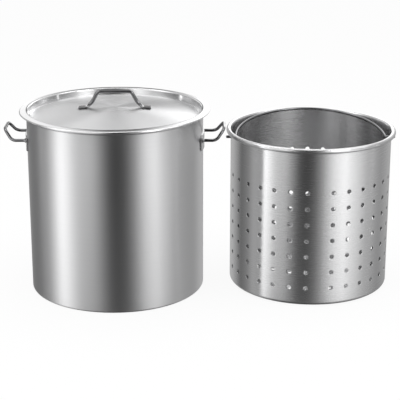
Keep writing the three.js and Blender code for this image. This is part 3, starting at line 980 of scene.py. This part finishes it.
def wall_patch(azimuths, levels):
    """Both faces of a plain part of the wall, on a grid of azimuths and heights."""
    azimuth, level = np.meshgrid(azimuths, levels, indexing="ij")
    return joined(*(grid(*on_wall(azimuth, level, depth)) for depth in (0.0, BASKET_SHEET)))


def wall_cells(low, high, centre, diameter, counts):
    """Cells of the wall with a hole in each, from flat corners in arc length and height."""
    flat, depth, faces = perforated(low, high, centre, diameter / 2, counts)
    points, brush = on_wall(flat[:, 0] / BASKET_RADIUS, flat[:, 1], depth)
    return points, faces, brush


def hole_cells(bounds, rows):
    """The perforated field: two facets of the ring to a column, and one cell to a row."""
    def corners(azimuths, heights):
        sides, levels = np.meshgrid(azimuths * BASKET_RADIUS, heights)
        return np.column_stack([sides.ravel(), levels.ravel()])

    low = corners(CELL_LEFTS, bounds[:-1])
    high = corners(CELL_LEFTS + 2 * FACET, bounds[1:])
    centre = corners(CELL_LEFTS + FACET, rows)
    return wall_cells(low, high, centre, HOLE, (CELL_STEPS, CELL_STEPS))


def pivot_band(azimuths, levels):
    """A plain band with one hole at each side, where the bail's ends go out."""
    patches = []
    start = 0
    for pivot in (0.5 * np.pi, 1.5 * np.pi):
        first = int(np.argmin(np.abs(azimuths - pivot))) - PIVOT_CELL_STEPS // 2
        last = first + PIVOT_CELL_STEPS
        low = np.array([[azimuths[first] * BASKET_RADIUS, levels[0]]])
        high = np.array([[azimuths[last] * BASKET_RADIUS, levels[-1]]])
        centre = np.array([[pivot * BASKET_RADIUS, PIVOT_HEIGHT]])
        counts = (PIVOT_CELL_STEPS, len(levels) - 1)
        patches.append(wall_patch(azimuths[start:first + 1], levels))
        patches.append(wall_cells(low, high, centre, PIVOT_HOLE, counts))
        start = last
    return joined(*patches, wall_patch(azimuths[start:], levels))


def make_basket_wall():
    """The perforated field, a plain strip at the seam, and a plain band up to the curled rim."""
    rows = HOLE_FIRST_ROW + HOLE_ROW_PITCH * np.arange(HOLE_ROWS)
    between_rows = (rows[:-1] + rows[1:]) / 2
    bounds = np.concatenate([[BASKET_WELD], between_rows, [rows[-1] + HOLE_ROW_PITCH / 2]])
    azimuths = basket_azimuths()
    inner = BASKET_RADIUS - BASKET_SHEET
    pivot_levels = PIVOT_HEIGHT + PIVOT_CELL * np.linspace(-1, 1, CELL_STEPS + 1)
    rim = np.vstack([[[inner, pivot_levels[-1]]], curl_line(inner, BASKET_HEIGHT, BASKET_BEAD)])
    cell_levels = bounds[:-1, None] + np.diff(bounds)[:, None] * np.arange(CELL_STEPS) / CELL_STEPS
    seam_levels = np.append(cell_levels.ravel(), bounds[-1])
    bottom_edge = np.array([[BASKET_RADIUS, BASKET_WELD], [inner, BASKET_WELD]])
    surface = joined(
        hole_cells(bounds, rows),
        wall_patch(azimuths[-(STRIP_STEPS + 1):], seam_levels),
        wall_patch(azimuths, np.linspace(bounds[-1], pivot_levels[0], PLAIN_BAND_POINTS)),
        pivot_band(azimuths, pivot_levels),
        revolved(sheet_section(rim, BASKET_SHEET)[:-1], azimuths, BASKET_PLACE),
        revolved(bottom_edge, azimuths, BASKET_PLACE),
    )
    piece("basket_wall_skin", surface, BASKET_STEEL, "basket", "basket_wall",
          sharp=PERFORATED_SHARP_ANGLE)


def base_ring(ring, inner, outer, steps):
    """One ring of the base's cells: their flat coordinates are the arc length and the radius."""
    count = ring * BASE_RING_HOLES
    radius = ring * BASE_RING_PITCH
    width = 2 * np.pi / count * radius
    lefts = width * (np.arange(count) - 0.5)
    low = np.column_stack([lefts, np.full(count, inner)])
    high = np.column_stack([lefts + width, np.full(count, outer)])
    centre = np.column_stack([lefts + width / 2, np.full(count, radius)])
    flat, depth, faces = perforated(low, high, centre, HOLE / 2, (steps // count, CELL_STEPS))
    points = around(flat[:, 1], flat[:, 0] / radius, depth) + BASKET_PLACE
    return points, faces, flat


def make_basket_base():
    """Rings of cells with holes, a plain middle, and the corner up to the weld."""
    steps = BASE_STEPS_PER_HOLE * BASE_RING_HOLES
    edges = BASE_RING_PITCH * (np.arange(BASE_RINGS + 1) + 0.5)
    edges[-1] = BASE_HOLE_LIMIT
    rings = range(1, BASE_RINGS + 1)
    parts = [base_ring(ring, edges[ring - 1], edges[ring], steps) for ring in rings]
    azimuths = np.linspace(0, 2 * np.pi, steps + 1) - np.pi / BASE_RING_HOLES
    for level in (0.0, BASKET_SHEET):
        middle = np.array([[0, level], [edges[0], level]])
        parts.append(revolved(middle, azimuths, BASKET_PLACE))
    line = dish_line(BASKET_RADIUS, BASKET_CORNER, BASKET_WELD, BASKET_SHEET)
    line = np.vstack([[[BASE_HOLE_LIMIT, BASKET_SHEET]], line[DISH_POINTS - 1:]])
    parts.append(revolved(sheet_section(line, BASKET_SHEET)[:-1], azimuths, BASKET_PLACE))
    piece("basket_base_skin", joined(*parts), BASKET_STEEL, "basket", "basket_base",
          sharp=PERFORATED_SHARP_ANGLE)


def make_bail():
    """Half an ellipse between two straight ends that go out through the wall, tilted back."""
    tip = BASKET_RADIUS + BAIL_END
    bend_start = np.array([-BAIL_HALF_SPAN - BAIL_BEND, 0.0])
    corner = np.array([-BAIL_HALF_SPAN, 0.0])
    first = math.asin(BAIL_BEND / BAIL_ARCH)
    angle = np.linspace(first, np.pi - first, BAIL_ARCH_POINTS)
    arch = np.column_stack([-BAIL_HALF_SPAN * np.cos(angle), BAIL_ARCH * np.sin(angle)])
    bend = quadratic(bend_start, corner, arch[0], BAIL_BEND_POINTS)
    left = np.vstack([straight(np.array([-tip, 0.0]), bend_start)[:-1], bend[:-1]])
    flat = np.vstack([left, arch, (left * [-1, 1])[::-1]])
    tilt = math.radians(BAIL_TILT)
    path = np.column_stack([flat[:, 0], flat[:, 1] * math.cos(tilt), flat[:, 1] * math.sin(tilt)])
    path = with_fine_ends(path + BAIL_PIVOT, BAIL_END_ROUNDING)
    radius = BAIL_WIRE / 2 * end_rounding(path, BAIL_END_ROUNDING)
    surface = round_rod(path, radius, np.array([0.0, -math.sin(tilt), math.cos(tilt)]))
    piece("basket_bail_wire", surface, SHADED_ROD_STEEL, "bail", "basket_bail")


make_camera()
make_world()
make_studio()
make_card()
make_floor()
make_lamp()
make_pot()
make_handles()
make_lid()
make_lid_handle()
make_basket_wall()
make_basket_base()
make_bail()

bpy.context.scene.view_settings.view_transform = "Standard"
